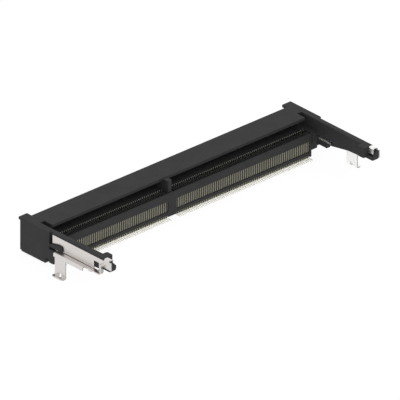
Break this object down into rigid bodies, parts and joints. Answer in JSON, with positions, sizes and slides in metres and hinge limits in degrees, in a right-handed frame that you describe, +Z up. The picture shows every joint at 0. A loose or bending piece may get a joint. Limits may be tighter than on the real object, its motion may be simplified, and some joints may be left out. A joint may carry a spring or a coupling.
{
  "type": "memory module socket",
  "caption": "Long low right-angle card socket with two latch arms, a keyed slot, two rows of fine contacts and two solder-down latch plates.",
  "frame": {"origin": "middle of the bounding box's underside, on the circuit board plane", "axes": "+X along the connector, +Y towards its rear, +Z up from the board; the module enters from the front, along +Y"},
  "size_m": [0.0768, 0.0268, 0.0081],
  "materials": {
    "housing_black": "fine satin moulding",
    "latch_steel": "satin tin plate",
    "contact_alloy": "pale plated copper alloy"
  },
  "bodies": {
    "root": {"housing": "housing_black", "left_latch": "latch_steel", "right_latch": "latch_steel", "front_contacts_left_1": "contact_alloy", "front_contacts_left_2": "contact_alloy", "front_contacts_left_3": "contact_alloy", "front_contacts_left_4": "contact_alloy", "front_contacts_left_5": "contact_alloy", "front_contacts_left_6": "contact_alloy", "rear_contacts_left_1": "contact_alloy", "rear_contacts_left_2": "contact_alloy", "rear_contacts_left_3": "contact_alloy", "rear_contacts_left_4": "contact_alloy", "rear_contacts_left_5": "contact_alloy", "rear_contacts_left_6": "contact_alloy", "front_contacts_right_1": "contact_alloy", "front_contacts_right_2": "contact_alloy", "front_contacts_right_3": "contact_alloy", "front_contacts_right_4": "contact_alloy", "front_contacts_right_5": "contact_alloy", "front_contacts_right_6": "contact_alloy", "front_contacts_right_7": "contact_alloy", "rear_contacts_right_1": "contact_alloy", "rear_contacts_right_2": "contact_alloy", "rear_contacts_right_3": "contact_alloy", "rear_contacts_right_4": "contact_alloy", "rear_contacts_right_5": "contact_alloy", "rear_contacts_right_6": "contact_alloy", "rear_contacts_right_7": "contact_alloy"}
  },
  "joints": []
}
